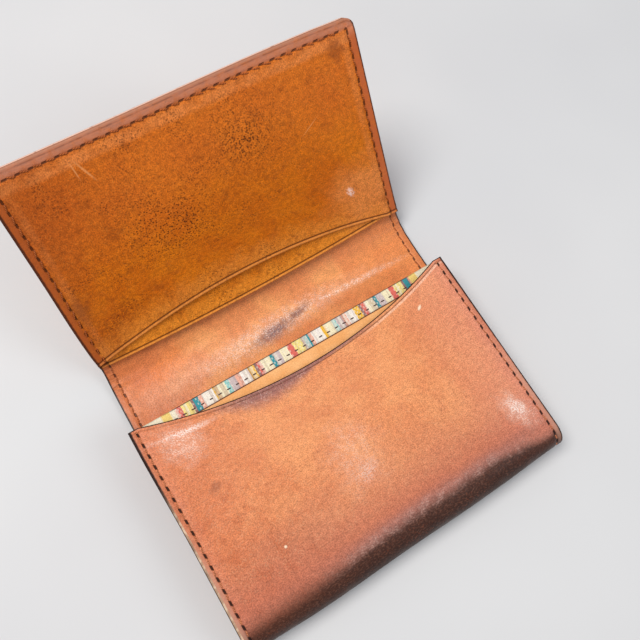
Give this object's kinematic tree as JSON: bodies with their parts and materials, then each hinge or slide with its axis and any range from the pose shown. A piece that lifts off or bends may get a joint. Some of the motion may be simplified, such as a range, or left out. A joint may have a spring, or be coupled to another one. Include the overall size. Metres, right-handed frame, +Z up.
{
  "type": "business card case",
  "caption": "Leather business card case with a folding lid, a gusseted card pocket, a scooped front panel and flat pockets inside the lid.",
  "frame": {"origin": "centre of the case's outline seen from above, on the face it rests on", "axes": "+X across the case, +Y from the bottom fold towards the lid, +Z up from the resting face"},
  "size_m": [0.11, 0.1346, 0.0572],
  "materials": {
    "outer_leather": "smooth tan leather with a worn satin sheen, browned at the folds",
    "lining_leather": "smooth light tan leather, glossy from wear",
    "ochre_leather": "matt ochre leather with fine dark pores",
    "gusset_leather": "thin soft tan leather",
    "striped_fabric": "close-woven cloth with narrow stripes in mixed colours",
    "thread": "waxed red-brown thread",
    "trim_thread": "dark brown thread"
  },
  "bodies": {
    "back": {"back_outer_leather": "outer_leather", "back_lining": "lining_leather", "back_stitching": "thread", "gusset_left": "gusset_leather", "gusset_right": "gusset_leather"},
    "front": {"front_panel": "outer_leather", "front_divider": "ochre_leather", "striped_wall": "striped_fabric", "striped_wall_stitching": "trim_thread", "front_stitching_left": "thread", "front_stitching_right": "thread"},
    "spine": {"spine_outer_leather": "outer_leather", "spine_lining": "lining_leather", "spine_stitching": "thread"},
    "lid": {"lid_outer_leather": "outer_leather", "lid_lining": "lining_leather", "lid_pocket_straight": "ochre_leather", "lid_pocket_scooped": "ochre_leather", "lid_stitching": "thread"}
  },
  "joints": [
    {"name": "front_fold", "type": "hinge", "parent": "back", "child": "front", "pos_m": [0, -0.06128, 0.006], "axis": [1, 0, 0], "range_deg": [-5, 2.5], "deforming": ["gusset_left", "gusset_right"]},
    {"name": "spine_crease", "type": "hinge", "parent": "back", "child": "spine", "pos_m": [0, 0.00472, 0.0018], "axis": [1, 0, 0], "range_deg": [0, 90]},
    {"name": "lid_crease", "type": "hinge", "parent": "spine", "child": "lid", "pos_m": [0, 0.02117, 0.00292], "axis": [1, 0, 0], "range_deg": [-50, 42]}
  ]
}
